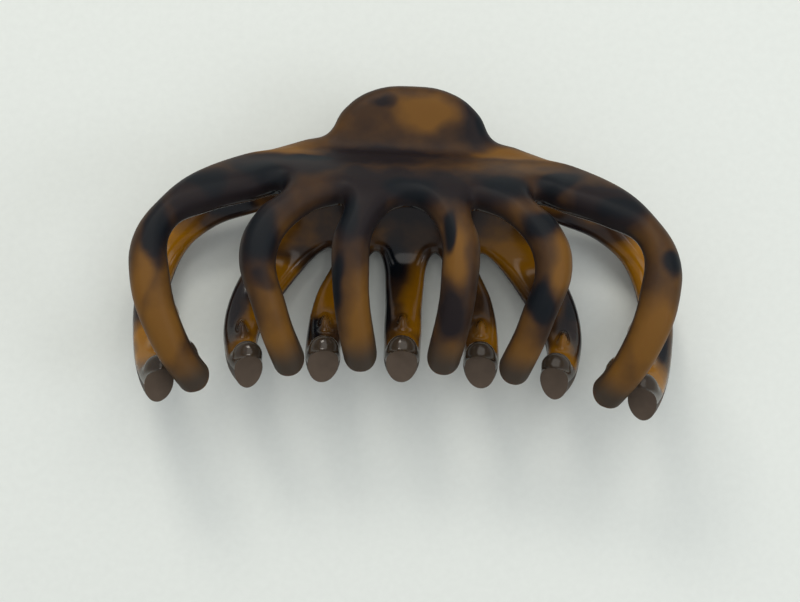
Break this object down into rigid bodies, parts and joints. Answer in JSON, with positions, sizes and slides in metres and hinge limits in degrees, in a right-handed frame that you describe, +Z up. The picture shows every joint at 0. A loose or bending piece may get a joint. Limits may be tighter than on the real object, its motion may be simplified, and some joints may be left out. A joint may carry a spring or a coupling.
{
  "type": "claw clip",
  "caption": "Wide open-shape claw hair clip: two arched comb halves with interlacing prongs and half-moon thumb tabs, on a sprung hinge.",
  "frame": {"origin": "centre of the footprint, on the surface that the clip lies on", "axes": "+X along the hinge pin, +Y from the prong tips to the thumb tabs, +Z up through the front half; the clip lies on its back half, tilted by 12 degrees about X"},
  "size_m": [0.1106, 0.0662, 0.0375],
  "materials": {
    "front_half": "satin mottled tortoiseshell, matte outside and glossy inside",
    "back_half": "satin mottled tortoiseshell, matte outside and glossy inside",
    "hinge_pin": "drawn wire with formed heads",
    "torsion_spring": "plated spring wire"
  },
  "bodies": {
    "back": {"back_half": "back_half", "hinge_pin": "hinge_pin", "torsion_spring": "torsion_spring"},
    "front": {"front_half": "front_half"}
  },
  "joints": [
    {"name": "jaw_hinge", "type": "hinge", "parent": "back", "child": "front", "pos_m": [0, 0.01761, 0.01471], "axis": [-1, 0, 0], "range_deg": [0, 55], "stiffness_Nm_per_rad": 0.2, "springref_deg": -8.59, "deforming": ["torsion_spring"]}
  ]
}
